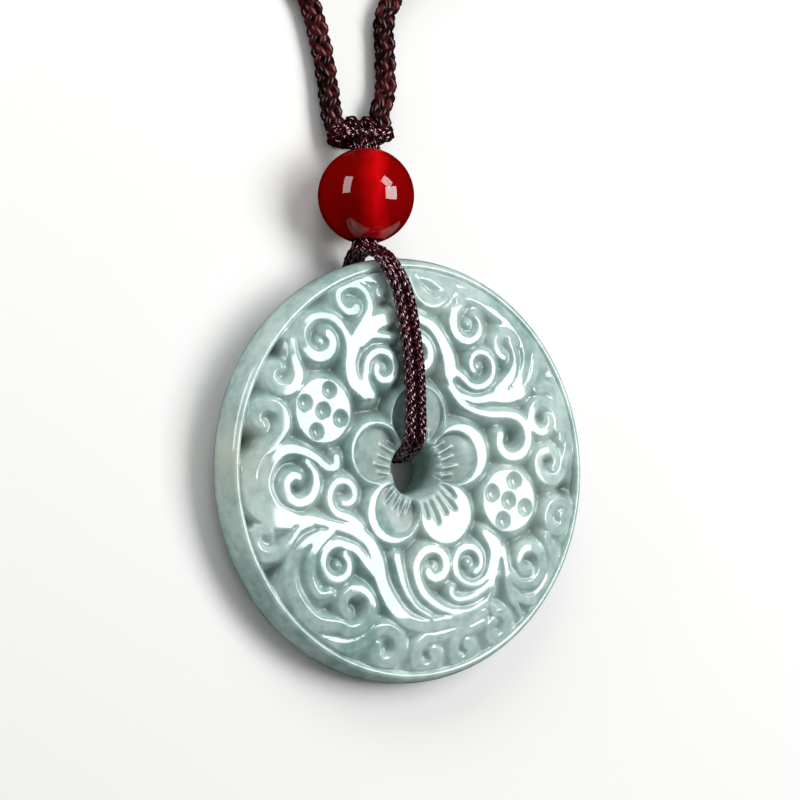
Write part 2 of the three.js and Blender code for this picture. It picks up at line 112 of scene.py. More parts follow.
# The neck cord. One round braid of eight soft dark red yarns, four wound each way, each passing over and
# under the others in turn. Both its ends are bound in the knot above the bead, and its two legs run up
# the table to a coil of the length that is out of sight.
NECK_CORD = 2.8
NECK_TURN = 9.1
NECK_LOW = NECK_CORD / 2
NECK_POINT_STEP = 0.8
BEAD_RADIUS = 5.1
BEAD_GAP = 0.8
BEAD_X = -6.5
BEAD_Y = DISC_RADIUS + BEAD_GAP + BEAD_RADIUS
KNOT_ASIDE = 1.0
KNOT_ABOVE_BEAD = 2.1
KNOT_HEIGHT = 2.2
KNOT = Vector((BEAD_X + KNOT_ASIDE, BEAD_Y + BEAD_RADIUS + KNOT_ABOVE_BEAD, KNOT_HEIGHT))
KNOT_TURN = math.radians(8)
COIL_ASIDE = 0.7
COIL_REACH = 40
COIL_MIDDLE = (KNOT.x + COIL_ASIDE, KNOT.y + COIL_REACH)
COIL_RADIUS = 16.0
LEG_EASE = 0.1
BESIDE_COIL = COIL_RADIUS + 2 * NECK_CORD + CLEARANCE + LEG_EASE
COIL_STEPS = 24
COIL_START = 175
COIL_FINISH = -1800


def from_knot(x, y, z):
    """A point given from the middle of the knot, along and across the way it is turned."""
    return (KNOT.x + x * math.cos(KNOT_TURN) - y * math.sin(KNOT_TURN),
            KNOT.y + x * math.sin(KNOT_TURN) + y * math.cos(KNOT_TURN), z)


def beside_coil(radius, angle, height=NECK_LOW):
    """A point at a radius and an angle in degrees about the middle of the coil."""
    turn_by = math.radians(angle)
    return (COIL_MIDDLE[0] + radius * math.cos(turn_by), COIL_MIDDLE[1] + radius * math.sin(turn_by), height)


def smooth_line(points, step):
    """A Catmull-Rom curve through the points, as points about a step apart."""
    line = np.array([tuple(p) for p in points], float)
    ends = np.vstack([2 * line[0] - line[1], line, 2 * line[-1] - line[-2]])
    pieces = []
    for before, start, end, after in zip(ends, ends[1:], ends[2:], ends[3:]):
        count = max(2, math.ceil(np.linalg.norm(end - start) / step))
        t = np.linspace(0, 1, count, endpoint=False)[:, None]
        pieces.append(start + 0.5 * t * ((end - before) + t * ((2 * before - 5 * start + 4 * end - after)
                                         + t * (3 * start - before - 3 * end + after))))
    return np.vstack([*pieces, line[-1:]])


left_leg = [
    from_knot(-1.75, -0.5, 2.0),
    from_knot(-3.0, 1.5, 1.75),
    from_knot(-3.1, 2.9, 1.65),
    (KNOT.x - 3.9, KNOT.y + 5.2, 1.5),
    (KNOT.x - 4.9, KNOT.y + 9.6, NECK_LOW),
    (KNOT.x - 6.8, KNOT.y + 14.4, NECK_LOW),
    (KNOT.x - 11.0, KNOT.y + 19.4, NECK_LOW),
    beside_coil(BESIDE_COIL + 1.1, 222),
    beside_coil(BESIDE_COIL, 205),
    beside_coil(BESIDE_COIL, 190),
]
right_leg = [
    from_knot(1.75, -0.5, 2.0),
    from_knot(3.0, 1.5, 1.75),
    from_knot(3.1, 2.9, 1.65),
    (KNOT.x + 3.5, KNOT.y + 5.2, 1.5),
    (KNOT.x + 3.4, KNOT.y + 9.6, NECK_LOW),
    (KNOT.x + 3.5, KNOT.y + 14.6, NECK_LOW),
    (KNOT.x + 8.2, KNOT.y + 20.8, NECK_LOW),
    beside_coil(BESIDE_COIL + 1.1, -42),
    beside_coil(BESIDE_COIL, -25),
    beside_coil(BESIDE_COIL, -10),
]

# The coil runs clockwise from the left leg to the right one. It steps inward on the table, climbs at the
# innermost turn and steps outward on top, always at the far side.
turns = [(BESIDE_COIL, 0)] + [(COIL_RADIUS + column * NECK_CORD, 0) for column in (1, 0, -1)]
turns += [(COIL_RADIUS + column * NECK_CORD, 1) for column in (-1, 0, 1)] + [(BESIDE_COIL, 0)]
step_angles = [165, 90 - 360, 90 - 720, 90 - 1080, 90 - 1440, 90 - 1800, 15 - 1800]
STEP_SPREAD = 25
coil = []
for angle in np.arange(COIL_START, COIL_FINISH, -360 / COIL_STEPS):
    radius, layer = turns[0]
    for (next_radius, next_layer), (last_radius, last_layer), at in zip(turns[1:], turns, step_angles):
        share = min(max((at + STEP_SPREAD - angle) / (2 * STEP_SPREAD), 0), 1)
        share = share * share * (3 - 2 * share)
        radius += (next_radius - last_radius) * share
        layer += (next_layer - last_layer) * share
    coil.append(beside_coil(radius, angle, NECK_LOW + NECK_CORD * layer))
neck_line = smooth_line([*left_leg, *coil, *reversed(right_leg)], NECK_POINT_STEP)


def add_node(tree, kind, sockets, **settings):
    """A node's outputs. Each socket is given a value, or is linked to another node's output."""
    node = tree.nodes.new(kind)
    for name, value in settings.items():
        setattr(node, name, value)
    for key, value in sockets.items():
        if isinstance(value, bpy.types.NodeSocket):
            tree.links.new(value, node.inputs[key])
        else:
            node.inputs[key].default_value = value
    return node.outputs


def maths_node(tree, operation, *values):
    """The result of one sum, whose terms are numbers or other nodes' outputs."""
    return add_node(tree, "ShaderNodeMath", dict(enumerate(values)), operation=operation)[0]


def group_input(tree, name, kind, default):
    """A named size that each piece made by the tree gives for itself."""
    socket = tree.interface.new_socket(name, in_out="INPUT", socket_type=kind)
    if default is not None:
        socket.default_value = default


def plait_tree():
    """A round plait along a line: yarns wound both ways, each going over and under by turns."""
    tree = bpy.data.node_groups.new("round_plait", "GeometryNodeTree")
    group_input(tree, "Cord line", "NodeSocketGeometry", None)
    for name, default in (("Plait radius", 0.001), ("Weave height", 0.0002), ("Yarn radius", 0.0004),
                          ("Core radius", 0.0006), ("Turn length", 0.009), ("Sample length", 0.0003),
                          ("Swell", 0.2)):
        group_input(tree, name, "NodeSocketFloat", default)
    group_input(tree, "Yarns", "NodeSocketInt", 8)
    group_input(tree, "Yarn sides", "NodeSocketInt", 6)
    group_input(tree, "Thread", "NodeSocketMaterial", None)
    tree.interface.new_socket("Plait", in_out="OUTPUT", socket_type="NodeSocketGeometry")
    given = tree.nodes.new("NodeGroupInput").outputs
    add = partial(add_node, tree)
    maths = partial(maths_node, tree)

    def vectors(operation, first, second, key=1):
        return add("ShaderNodeVectorMath", {0: first, key: second}, operation=operation)[0]

    line = add("GeometryNodeResampleCurve", {"Curve": given["Cord line"], "Length": given["Sample length"]},
               mode="LENGTH")[0]
    copies = add("GeometryNodeDuplicateElements", {"Geometry": line, "Amount": given["Yarns"]},
                 domain="SPLINE")
    along = add("GeometryNodeSplineParameter", {})["Length"]
    odd = maths("MODULO", copies["Duplicate Index"], 2.0)
    way = maths("MULTIPLY_ADD", odd, -2.0, 1.0)
    pair = maths("FLOOR", maths("DIVIDE", copies["Duplicate Index"], 2.0))
    pairs = maths("DIVIDE", given["Yarns"], 2.0)
    wound = maths("DIVIDE", maths("MULTIPLY", along, math.tau), given["Turn length"])
    angle = maths("MULTIPLY_ADD", wound, way, maths("DIVIDE", maths("MULTIPLY", pair, math.tau), pairs))
    over = maths("MULTIPLY", maths("COSINE", maths("MULTIPLY", wound, pairs)), way)
    reach = maths("MULTIPLY_ADD", over, given["Weave height"], given["Plait radius"])
    normal = add("GeometryNodeInputNormal", {})["Normal"]
    tangent = add("GeometryNodeInputTangent", {})["Tangent"]
    across = vectors("CROSS_PRODUCT", tangent, normal)
    sideways = vectors("SCALE", normal, maths("MULTIPLY", reach, maths("COSINE", angle)), "Scale")
    outward = vectors("SCALE", across, maths("MULTIPLY", reach, maths("SINE", angle)), "Scale")
    yarns = add("GeometryNodeSetPosition", {"Geometry": copies["Geometry"],
                                            "Offset": vectors("ADD", sideways, outward)})[0]
    yarns = add("GeometryNodeSetCurveRadius", {"Curve": yarns,
                                               "Radius": maths("MULTIPLY_ADD", over, given["Swell"], 1.0)})[0]
    yarns = add("GeometryNodeStoreNamedAttribute", {"Geometry": yarns, "Name": "yarn_over", "Value": over},
                data_type="FLOAT", domain="POINT")[0]
    yarns = add("GeometryNodeStoreNamedAttribute", {"Geometry": yarns, "Name": "yarn_length", "Value": along},
                data_type="FLOAT", domain="POINT")[0]
    ring = add("GeometryNodeCurvePrimitiveCircle", {"Resolution": given["Yarn sides"],
                                                    "Radius": given["Yarn radius"]}, mode="RADIUS")[0]
    place = add("GeometryNodeInputPosition", {})["Position"]
    round_place = vectors("NORMALIZE", place, (0, 0, 0))
    ring = add("GeometryNodeStoreNamedAttribute", {"Geometry": ring, "Name": "yarn_side",
                                                   "Value": round_place},
               data_type="FLOAT_VECTOR", domain="POINT")[0]
    yarn_mesh = add("GeometryNodeCurveToMesh", {"Curve": yarns, "Profile Curve": ring, "Fill Caps": True})[0]
    # A plain core fills the middle. The yarns hide it, so it has a fifth of their rings.
    core_step = maths("MULTIPLY", given["Sample length"], 5.0)
    core_line = add("GeometryNodeResampleCurve", {"Curve": given["Cord line"], "Length": core_step},
                    mode="LENGTH")[0]
    core_ring = add("GeometryNodeCurvePrimitiveCircle", {"Resolution": given["Yarn sides"],
                                                         "Radius": given["Core radius"]}, mode="RADIUS")[0]
    core = add("GeometryNodeCurveToMesh", {"Curve": core_line, "Profile Curve": core_ring,
                                           "Fill Caps": True})[0]
    join = tree.nodes.new("GeometryNodeJoinGeometry")
    tree.links.new(core, join.inputs[0])
    tree.links.new(yarn_mesh, join.inputs[0])
    smooth = add("GeometryNodeSetShadeSmooth", {"Geometry": join.outputs[0], "Shade Smooth": True})[0]
    solid = add("GeometryNodeRealizeInstances", {"Geometry": smooth})[0]
    dressed = add("GeometryNodeSetMaterial", {"Geometry": solid, "Material": given["Thread"]})[0]
    tree.links.new(dressed, tree.nodes.new("NodeGroupOutput").inputs[0])
    return tree


PLAIT = plait_tree()


def plaited(name, lines, thread, sizes):
    """A plaited piece along lines of table millimetres, as a plain mesh."""
    curve = bpy.data.curves.new(name + "_line", "CURVE")
    curve.dimensions = "3D"
    for line in lines:
        spline = curve.splines.new("POLY")
        spline.points.add(len(line) - 1)
        for point, place in zip(spline.points, in_metres(line)):
            point.co = (*place, 1)
    holder = bpy.data.objects.new(name + "_line", curve)
    bpy.context.scene.collection.objects.link(holder)
    modifier = holder.modifiers.new("plait", "NODES")
    modifier.node_group = PLAIT
    for label, value in {**sizes, "Thread": thread}.items():
        modifier[PLAIT.interface.items_tree[label].identifier] = value
    mesh = bpy.data.meshes.new_from_object(holder.evaluated_get(bpy.context.evaluated_depsgraph_get()))
    mesh.name = name
    bpy.data.objects.remove(holder)
    piece = bpy.data.objects.new(name, mesh)
    bpy.context.scene.collection.objects.link(piece)
    return piece


def new_material(name, settings):
    """A material with its one shader, whose plain values are set on its own sockets."""
    material = bpy.data.materials.new(name)
    material.use_nodes = True
    shader = material.node_tree.nodes["Principled BSDF"]
    for socket, value in settings.items():
        shader.inputs[socket].default_value = value
    return material, material.node_tree, shader


def colour_ramp(tree, value, stops):
    """Colours along a ramp, each at its place from 0 to 1."""
    node = tree.nodes.new("ShaderNodeValToRGB")
    elements = node.color_ramp.elements
    for element, (place, colour) in zip((elements[0], elements[1]), (stops[0], stops[-1])):
        element.position = place
        element.color = (*colour, 1)
    for place, colour in stops[1:-1]:
        elements.new(place).color = (*colour, 1)
    tree.links.new(value, node.inputs[0])
    return node.outputs[0]


PLIES = 7
PLY_SHADE = 0.1
OVER_PAINTED_LIGHT = 0.33


def thread_material(name, dark, light, twist_length, fibre_depth, settings):
    """Twisted thread: fine plies run round the yarn and the dye varies along the cord. Painted light makes
    each yarn lighter where it rides over the others, with painted shade where it dives under.
    """
    material, tree, shader = new_material(name, settings)
    add = partial(add_node, tree)
    maths = partial(maths_node, tree)
    side = add("ShaderNodeAttribute", {}, attribute_name="yarn_side")["Vector"]
    across = add("ShaderNodeSeparateXYZ", {0: side})
    angle = maths("ARCTAN2", across["Y"], across["X"])
    along = add("ShaderNodeAttribute", {}, attribute_name="yarn_length")["Fac"]
    twist = maths("MULTIPLY", along, math.tau / twist_length)
    plies = maths("SINE", maths("MULTIPLY_ADD", angle, PLIES, twist))
    place = add("ShaderNodeTexCoord", {})["Object"]
    clouds = add("ShaderNodeTexNoise", {"Vector": place, "Scale": 900, "Detail": 4})["Fac"]
    shade = maths("MULTIPLY_ADD", plies, PLY_SHADE, clouds)
    # Painted light: each yarn is lighter where it rides over the others, and darker, in painted shade, where
    # it dives under.
    over = add("ShaderNodeAttribute", {}, attribute_name="yarn_over")["Fac"]
    dye_and_painted_light = maths("MULTIPLY_ADD", over, OVER_PAINTED_LIGHT, shade)
    tree.links.new(colour_ramp(tree, dye_and_painted_light, ((0.25, dark), (1.0, light))), shader.inputs["Base Color"])
    bump = add("ShaderNodeBump", {"Strength": 0.6, "Distance": fibre_depth, "Height": shade})[0]
    tree.links.new(bump, shader.inputs["Normal"])
    return material


braid_thread = thread_material(
    "braid_thread", dark=(0.0015, 0.0003, 0.0004), light=(0.08, 0.009, 0.011),
    twist_length=0.0009, fibre_depth=0.000035,
    settings={"Roughness": 0.33, "Specular IOR Level": 0.6, "Specular Tint": (1, 0.65, 0.65, 1),
              "IOR": 1.5})
neck_cord = plaited("neck_cord", [neck_line], braid_thread, {
    "Plait radius": 0.58 * MM, "Weave height": 0.27 * MM, "Yarn radius": 0.43 * MM, "Core radius": 0.42 * MM,
    "Turn length": NECK_TURN * MM, "Sample length": 0.34 * MM, "Swell": 0.32, "Yarns": 8, "Yarn sides": 6})
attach(neck_cord, "root")
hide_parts("neck_cord_left", "neck_cord_right", "neck_cord_coil")

# The thin cord. A glossy dark maroon cord of fine plaited thread, doubled through the disc's hole. Both
# pairs of strands run through the bead, and above it the same cord is wound round the ends of the neck
# cord and drawn up through its own turns in two small loops.
CROWN_HEIGHT = 5.45
OVER_FACE = CROWN_HEIGHT + CLEARANCE + THIN_CORD / 2
ON_TABLE = THIN_CORD / 2 + 0.1
STRAND_SPREAD = THIN_CORD * 0.45
FACE_SPREAD = THIN_CORD * 0.52
BORE_RADIUS = STRAND_SPREAD * math.sqrt(2) + THIN_CORD / 2 + CLEARANCE
BORE_HALF = math.sqrt(BEAD_RADIUS ** 2 - BORE_RADIUS ** 2)
BORE_END = BORE_HALF + 0.4


def strand_points(side):
    """One strand from the knot through the bead, down the face, through the hole and back up behind."""
    close = side * STRAND_SPREAD
    apart = side * FACE_SPREAD
    hole = -0.5
    top = BEAD_RADIUS + STRAND_SPREAD
    low = BEAD_RADIUS - STRAND_SPREAD
    return [
        (KNOT.x + close, KNOT.y, KNOT.z + STRAND_SPREAD),
        (BEAD_X + close, BEAD_Y + BORE_END, top),
        (BEAD_X + close, BEAD_Y, top),
        (BEAD_X + close, BEAD_Y - BORE_END, top),
        (BEAD_X + apart + 0.3, DISC_RADIUS - 0.15, top + 1.1),
        on_disc(BEAD_X + apart + 1.0, DISC_RADIUS - 1.15, LIP_HEIGHT + CLEARANCE + THIN_CORD / 2 + 0.1),
        on_disc(-4.05 + apart, 18.2, OVER_FACE - 0.05),
        on_disc(-2.4 + apart, 12.0, OVER_FACE),
        on_disc(-1.65 + apart, 6.5, OVER_FACE),
        on_disc(-1.4 + apart, 3.3, OVER_FACE - 0.2),
        on_disc(hole - 0.3 + close, 1.75, 3.9),
        on_disc(hole + close, 1.4, 1.5),
        (hole - 0.1 + close, 1.7, ON_TABLE + 0.4),
        (hole - 0.9 + close, 3.9, ON_TABLE),
        (-3.4 + close, 11.5, ON_TABLE),
        (-5.3 + close, 18.2, ON_TABLE + 0.2),
        (BEAD_X + close + 0.6, DISC_RADIUS - 1.3, ON_TABLE + 1.1),
        (BEAD_X + close + 0.2, DISC_RADIUS - 0.15, low - 1.3),
        (BEAD_X + close, BEAD_Y - BORE_END, low),
        (BEAD_X + close, BEAD_Y, low),
        (BEAD_X + close, BEAD_Y + BORE_END, low),
        (KNOT.x + close, KNOT.y, KNOT.z - STRAND_SPREAD),
    ]


KNOT_HALF_WIDTH = 3.3
KNOT_HALF_DEPTH = 1.45
KNOT_PITCH = 0.95
KNOT_SAG = 0.45
KNOT_SQUARENESS = 3.2
WRAP_LOWERING = 0.35
WRAP_START = -200
WRAP_END = 560
WRAP_STEP = 20
TWO_TURNS = 720
wrap = []
for angle in np.arange(WRAP_START, WRAP_END, WRAP_STEP):
    turned = math.radians(angle)
    x = KNOT_HALF_WIDTH * math.copysign(abs(math.cos(turned)) ** (2 / KNOT_SQUARENESS), math.cos(turned))
    z = KNOT_HALF_DEPTH * math.copysign(abs(math.sin(turned)) ** (2 / KNOT_SQUARENESS), math.sin(turned))
    sag = KNOT_SAG * ((x / KNOT_HALF_WIDTH) ** 2 - 1)
    climb = KNOT_PITCH * (angle - WRAP_START) / TWO_TURNS
    wrap.append(from_knot(x, sag - WRAP_LOWERING + climb, KNOT.z + z))


def knot_loop(x):
    """A small loop that stands up between the legs, over the front of the wrapping and down behind it."""
    return [from_knot(x * 0.6, -0.6, KNOT.z + 0.9), from_knot(x * 0.9, 0.2, KNOT.z + 1.45),
            from_knot(x, 1.1, KNOT.z + 0.95), from_knot(x * 1.05, 1.6, KNOT.z + 0.1),
            from_knot(x, 1.1, KNOT.z - 0.8), from_knot(x * 0.9, 0.1, KNOT.z - 1.0)]


thin_thread = thread_material(
    "thin_thread", dark=(0.005, 0.0005, 0.001), light=(0.055, 0.004, 0.009),
    twist_length=0.0005, fibre_depth=0.00004,
    settings={"Roughness": 0.14, "Specular IOR Level": 1.0, "Specular Tint": (1, 0.7, 0.77, 1),
              "IOR": 1.75})
STRAND_POINT_STEP = 0.4
KNOT_POINT_STEP = 0.3
thin_lines = [smooth_line(strand_points(side), STRAND_POINT_STEP) for side in (-1, 1)]
thin_lines += [smooth_line(line, KNOT_POINT_STEP) for line in (wrap, knot_loop(-1.15), knot_loop(0.75))]
thin_cord = plaited("thin_cord", thin_lines, thin_thread, {
    "Plait radius": 0.39 * MM, "Weave height": 0.07 * MM, "Yarn radius": 0.195 * MM, "Core radius": 0.3 * MM,
    "Turn length": 4.6 * MM, "Sample length": 0.17 * MM, "Swell": 0.22, "Yarns": 8, "Yarn sides": 5})
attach(thin_cord, "root")
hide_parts("loop_cord")

# The disc. One round of pale bluish-green stone, turned to a low dome with a raised lip, cut through in
# the middle, carved with scrolls, two seed pods and a flower of five petals, and polished on top, so
# that the flat crests shine and the ground between them stays soft.
GROUND_DEPTH = 1.65
CROWN_SLOPE = 7.0
LIP_OUTER = 22.0
LIP_INNER = 21.4
FLANK = 1.6
FLANK_BEND = 1.25
FIELD_STEP = 0.07
MESH_STEP = 0.132

# The layout of the scrolls: points along a stem, then a curl about (x, y) from its first to its last
# radius, from an angle through a sweep in degrees, and half widths from the foot to the eye.
scrolls = [
    # upper left
    ([(-9.6, 11.4), (-9.9, 13.0)], (-13.0, 12.7, 2.95, 1.1, 25, 380), (0.4, 0.45, 0.4, 0.6, 0.5)),
    ([(-8.9, 13.6), (-7.9, 15.2)], (-9.5, 17.2, 2.3, 0.9, -20, 340), (0.5, 0.4, 0.35, 0.45)),
    ([(-7.3, 7.5), (-8.9, 8.9), (-9.4, 10.8), (-8.9, 12.9), (-7.6, 14.4), (-6.2, 15.4), (-4.5, 16.1)], None,
     (0.5, 0.75, 0.7, 0.8, 0.85, 0.75, 0.6)),
    ([(-8.2, 12.9), (-7.0, 13.8), (-5.5, 13.9), (-4.0, 13.9)], None, (0.5, 0.4, 0.3, 0.25)),
    ([(-6.6, 7.6), (-7.4, 9.0)], (-5.3, 10.5, 2.2, 0.8, 195, -385), (0.5, 0.4, 0.4, 0.4)),
    ([(-16.3, 12.3), (-16.2, 10.8)], (-17.3, 8.6, 1.9, 1.0, 40, -290), (0.4, 0.6, 0.6, 0.4)),
    ([(-15.4, -6.7), (-17.3, -6.4), (-19.1, -5.3), (-20.1, -3.4), (-20.1, -1.4), (-19.2, 0.3), (-17.9, 1.5)],
     (-18.8, 3.9, 2.25, 0.8, -50, 280), (0.4, 0.8, 0.95, 0.7, 0.5, 0.5, 0.6, 0.6, 0.4)),
    ([(-10.4, 19.0), (-7.4, 20.0), (-5.6, 19.5), (-6.1, 18.5)], None, (0.3, 0.4, 0.45, 0.5)),
    # lower left
    ([], (-14.9, -2.5, 2.6, 0.9, 70, -345), (0.25, 0.5, 0.5, 0.55, 0.45)),
    ([(-14.6, -6.0), (-17.2, -5.2), (-18.6, -3.1), (-18.3, -0.9), (-16.9, 0.8), (-14.9, 1.1), (-13.0, 0.5),
      (-11.5, -0.4), (-10.4, -0.2), (-10.4, 0.7)], None, (0.5, 0.7, 0.6, 0.55, 0.45, 0.45)),
    ([(-6.9, -6.3), (-7.9, -5.6)], (-9.1, -3.1, 2.2, 0.8, -85, -370), (0.5, 0.4, 0.4, 0.35)),
    ([(-15.4, -6.2), (-12.8, -5.9), (-10.3, -6.3), (-7.8, -6.7), (-5.8, -7.7), (-4.6, -9.5), (-3.9, -11.7),
      (-2.5, -13.8), (-0.6, -15.4), (2.0, -15.9), (4.8, -15.3), (7.4, -14.9), (9.4, -14.0)], None,
     (0.55, 0.4, 0.65, 0.75, 0.8, 0.65, 0.6, 0.4)),
    ([(-4.6, -11.0), (-5.8, -9.9), (-7.2, -8.6)], (-9.4, -10.2, 2.2, 1.25, 60, 350), (0.5, 0.4)),
    ([(-10.4, -6.9), (-11.9, -8.2), (-12.7, -10.1), (-12.4, -12.1), (-11.3, -13.5), (-10.0, -13.3)], None,
     (0.4, 0.6, 0.5, 0.4, 0.4, 0.3)),
    ([(-11.6, -7.2), (-13.9, -8.7), (-14.9, -10.9), (-14.4, -13.3), (-12.8, -15.3), (-10.9, -16.5)],
     (-7.0, -14.4, 2.7, 1.2, 235, 345), (0.4, 0.65, 0.65, 0.5, 0.5)),
    ([(-13.4, -16.2), (-10.4, -18.1), (-7.6, -18.7), (-5.2, -17.8)], (-2.7, -18.6, 2.2, 1.1, 125, -320),
     (0.3, 0.6, 0.6, 0.5)),
    ([(-12.9, -6.3), (-14.3, -7.0), (-15.4, -8.6)], (-17.9, -8.2, 2.1, 0.8, -45, -235),
     (0.3, 0.4, 0.55, 0.65, 0.5)),
    ([(-2.2, -9.0), (-1.7, -10.5), (-0.9, -12.3), (0.6, -14.0), (2.6, -15.0)], None, (0.5, 0.4, 0.25, 0.25)),
    # lower right
    ([(9.6, -12.9), (7.6, -14.0), (5.2, -14.2), (2.8, -13.5), (1.1, -12.1)],
     (2.6, -9.7, 2.3, 0.9, 190, -330), (0.3, 0.45, 0.5, 0.5)),
    ([(8.8, -5.6), (9.9, -7.2)], (7.2, -8.9, 2.7, 1.15, 5, -420), (0.4, 0.35, 0.4, 0.35)),
    ([(10.5, -9.8), (9.6, -11.3), (7.8, -12.5), (6.0, -12.9), (5.0, -12.4), (5.0, -11.8)], None,
     (0.4, 0.35, 0.35)),
    ([(9.0, -5.7), (10.3, -6.7), (10.5, -8.4), (10.2, -10.2), (10.2, -11.8), (9.6, -13.2)], None,
     (0.5, 0.75, 0.5, 0.4, 0.4, 0.3)),
    ([(11.3, -7.2), (11.9, -9.0), (12.3, -10.8), (13.1, -12.2), (14.6, -13.8)], None,
     (0.4, 0.35, 0.4, 0.45, 0.3)),
    ([(7.4, -15.7), (4.9, -16.6)], (2.9, -19.1, 2.1, 0.8, 75, 330), (0.3, 0.5, 0.55, 0.6)),
    ([(9.6, -15.0), (7.9, -15.9)], (7.5, -18.1, 1.9, 0.7, 110, 320), (0.3, 0.5, 0.55, 0.6)),
    ([(10.3, -13.2)], (11.5, -15.6, 1.8, 0.9, 110, -330), (0.3, 0.5, 0.55, 0.5)),
    ([(12.3, -9.6)], (14.9, -8.4, 2.6, 0.9, 215, 425), (0.3, 0.5, 0.5, 0.45, 0.35)),
    ([(17.2, -5.4), (18.4, -7.4), (18.5, -9.7), (17.0, -11.9), (14.9, -12.4), (13.3, -11.6)], None,
     (0.4, 0.6, 0.6, 0.6, 0.5, 0.3)),
    ([], (18.7, -3.3, 2.1, 0.9, 20, 360), (0.4, 0.5, 0.5, 0.6)),
    # upper right
    ([(19.6, 7.0), (19.6, 4.6)], (16.9, 2.6, 2.2, 0.9, 5, -400), (0.4, 0.5, 0.5, 0.4)),
    ([], (15.7, 7.2, 2.3, 1.0, -20, 390), (0.4, 0.5, 0.5, 0.4)),
    ([(14.6, 10.4), (16.6, 10.7), (18.2, 9.4), (18.8, 7.2), (18.6, 5.4)], None, (0.4, 0.6, 0.6, 0.5, 0.4)),
    ([(-2.0, 20.6), (-1.0, 18.9), (0.5, 18.2), (2.0, 18.9), (3.2, 20.4)], None, (0.4, 0.6, 0.6, 0.5, 0.3)),
    ([(-1.2, 21.0), (0.4, 20.9), (1.6, 20.3)], None, (0.3, 0.35, 0.35)),
    ([], (5.3, 16.4, 2.3, 1.3, 120, 290), (0.45, 0.6, 0.5, 0.35, 0.2)),
    ([(3.4, 11.4)], (6.9, 12.1, 2.5, 0.9, 215, 370), (0.4, 0.35, 0.3)),
    ([(-1.2, 16.3), (0.6, 15.6), (2.0, 14.1), (2.9, 12.4), (3.2, 11.0)], None, (0.5, 0.55, 0.6, 0.75, 0.8)),
    ([(2.9, 10.6), (4.0, 9.1), (6.4, 8.4), (8.8, 8.9), (11.2, 9.3), (12.8, 9.9)], None,
     (0.35, 0.35, 0.4, 0.5, 0.75, 0.6)),
    ([(9.4, 9.6), (11.1, 11.4), (11.7, 13.4), (11.0, 15.2)], None, (0.5, 0.6, 0.35, 0.3)),
    ([(11.6, 9.8), (12.6, 11.6), (13.2, 13.6), (12.8, 15.8), (11.3, 17.4), (9.6, 18.4), (8.8, 18.9)], None,
     (0.5, 0.45, 0.4, 0.35)),
    ([(12.4, 9.6), (13.9, 11.2), (14.6, 13.2), (14.6, 15.2), (14.0, 16.6)], None,
     (0.6, 0.55, 0.45, 0.4, 0.3)),
    ([], (10.3, 14.5, 1.6, 1.1, 20, 240), (0.35, 0.35, 0.45, 0.4)),
    ([(3.8, 20.9), (6.4, 20.7), (8.4, 20.1), (8.9, 19.3)], None, (0.3, 0.45, 0.45, 0.35)),
    ([(4.0, 18.7), (4.7, 19.4), (6.4, 19.6), (7.8, 19.4)], None, (0.4, 0.35, 0.3, 0.25)),
    ([(3.2, 9.4), (5.0, 7.8), (7.8, 7.1)], (11.6, 4.7, 2.6, 1.5, 100, -290), (0.3, 0.4, 0.5, 0.5)),
    ([], (-1.0, 12.4, 2.1, 0.9, 150, -330), (0.4, 0.45, 0.5, 0.4)),
]
CURL_STEP = 30
LINE_STEP = 0.1

cells = np.arange(-DISC_RADIUS - 1, DISC_RADIUS + 1, FIELD_STEP)
X, Y = np.meshgrid(cells, cells)
RADIUS = np.hypot(X, Y)


def blurred(field, spread):
    """The field softened by a round brush of that spread."""
    waves = 2 * np.pi * np.fft.fftfreq(len(cells), FIELD_STEP)
    brush = np.exp(-0.5 * spread ** 2 * (waves[:, None] ** 2 + waves[None, :] ** 2))
    return np.real(np.fft.ifft2(np.fft.fft2(field) * brush))


def eased(value, start, end):
    """0 at the start and 1 at the end, with no corner at either."""
    share = np.clip((value - start) / (end - start), 0, 1)
    return share * share * (3 - 2 * share)


def centre_line(stem, curl):
    """The middle of a scroll, along its stem and round its curl."""
    line = list(stem)
    if curl:
        x, y, first, last, start, sweep = curl
        count = math.ceil(abs(sweep) / CURL_STEP)
        for share in np.linspace(0, 1, count + 1):
            angle = math.radians(start + sweep * share)
            radius = first + (last - first) * share
            line.append((x + radius * math.cos(angle), y + radius * math.sin(angle)))
    return smooth_line(line, LINE_STEP) - (0, LAYOUT_LOWERING)


def near(x, y, reach):
    """The part of the field within reach of a point."""
    columns = slice(*np.searchsorted(cells, (x - reach, x + reach)))
    rows = slice(*np.searchsorted(cells, (y - reach, y + reach)))
    return rows, columns


# How far inside the edge of a crest each place is, and less than nothing down its flank.
inside = np.full(X.shape, -FLANK)
for stem, curl, widths in scrolls:
    line = centre_line(stem, curl)
    run = np.concatenate([[0], np.cumsum(np.hypot(*np.diff(line, axis=0).T))])
    halves = np.interp(run / run[-1], np.linspace(0, 1, len(widths)), widths)
    for (x, y), half in zip(line, halves):
        part = near(x, y, half + FLANK)
        inside[part] = np.maximum(inside[part], half - np.hypot(X[part] - x, Y[part] - y))

POD_RADIUS = 3.4
PODS = [(-12.4, 5.4 - LAYOUT_LOWERING), (11.7, -1.9 - LAYOUT_LOWERING)]
for x, y in PODS:
    inside = np.maximum(inside, POD_RADIUS - np.hypot(X - x, Y - y))
PETAL_RADIUS = 3.25
PETAL_DISTANCE = 5.7
PETAL_ANGLES = [math.radians(22 + 72 * i) for i in range(5)]
for angle in PETAL_ANGLES:
    x, y = PETAL_DISTANCE * math.cos(angle), PETAL_DISTANCE * math.sin(angle)
    inside = np.maximum(inside, PETAL_RADIUS - np.hypot(X - x, Y - y))

